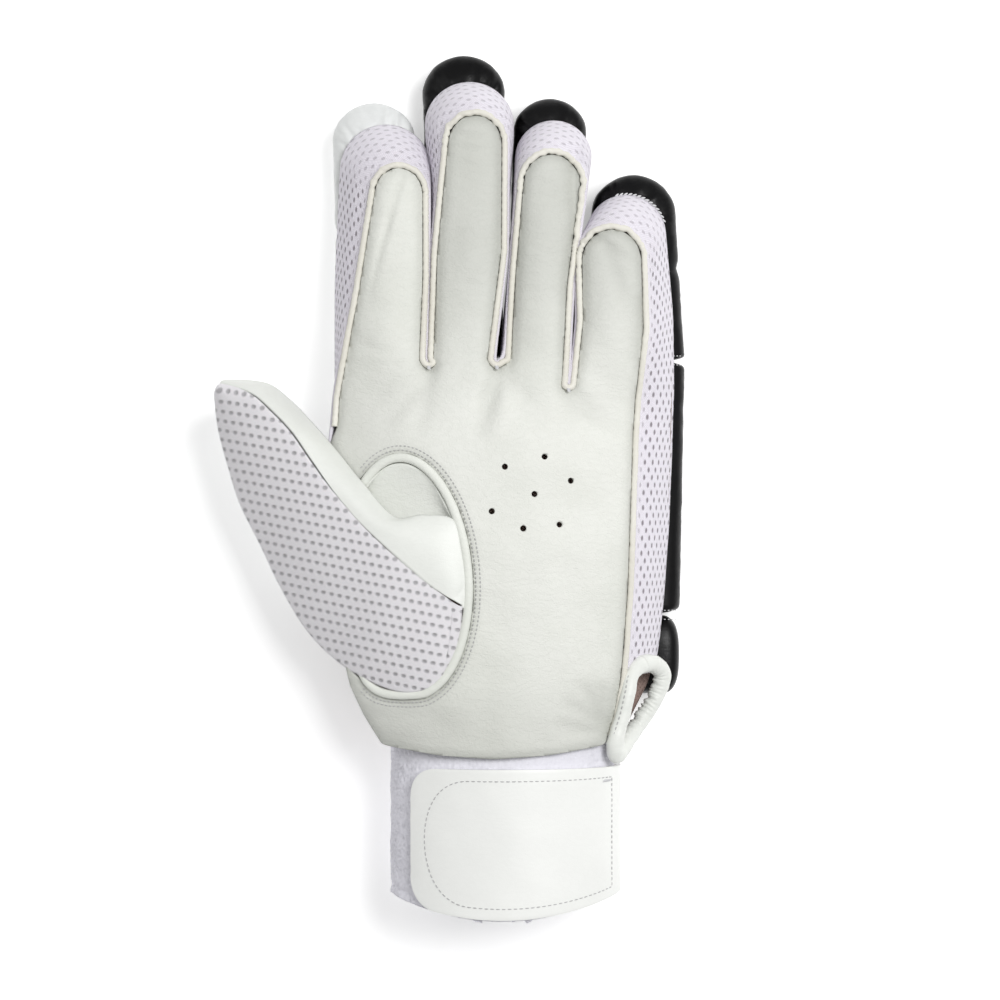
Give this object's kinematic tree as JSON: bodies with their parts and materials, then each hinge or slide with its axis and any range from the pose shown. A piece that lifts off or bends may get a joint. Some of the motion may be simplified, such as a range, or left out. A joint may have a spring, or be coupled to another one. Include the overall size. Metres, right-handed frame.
{
  "type": "cricket batting glove",
  "caption": "Left-hand cricket batting glove with leather palm, knitted finger walls, stuffed finger and hand rolls, welted thumb, towelling wristband and a closing strap.",
  "frame": {"origin": "middle of the glove's box on the surface that its padded back lies on", "axes": "+X towards the little finger, +Y towards the fingertips, +Z out of the palm"},
  "size_m": [0.1566, 0.2864, 0.0567],
  "materials": {
    "palm_leather": "soft matt",
    "piping": "soft matt",
    "knit": "open knit",
    "lining": "brushed",
    "white_leather": "satin",
    "black_leather": "glossy",
    "towelling": "looped",
    "strap_leather": "satin"
  },
  "bodies": {
    "root": {"palm": "palm_leather", "palm_welt": "piping", "index_mesh": "knit", "middle_mesh": "knit", "ring_mesh": "knit", "little_mesh": "knit", "side_gusset": "knit", "back_panel": "lining", "index_roll": "white_leather", "middle_roll": "black_leather", "ring_roll": "black_leather", "little_roll": "black_leather", "index_hand_roll": "white_leather", "middle_hand_roll": "black_leather", "ring_hand_roll": "black_leather", "little_hand_roll": "black_leather", "wrist_roll": "black_leather", "thumb_mesh": "knit", "thumb_band": "white_leather", "thumb_back": "white_leather", "thumb_patch": "palm_leather", "thumb_welt": "piping", "thumb_tip_roll": "white_leather", "thumb_base_roll": "white_leather", "wristband": "towelling", "strap": "strap_leather", "slit_binding": "white_leather"}
  },
  "joints": []
}
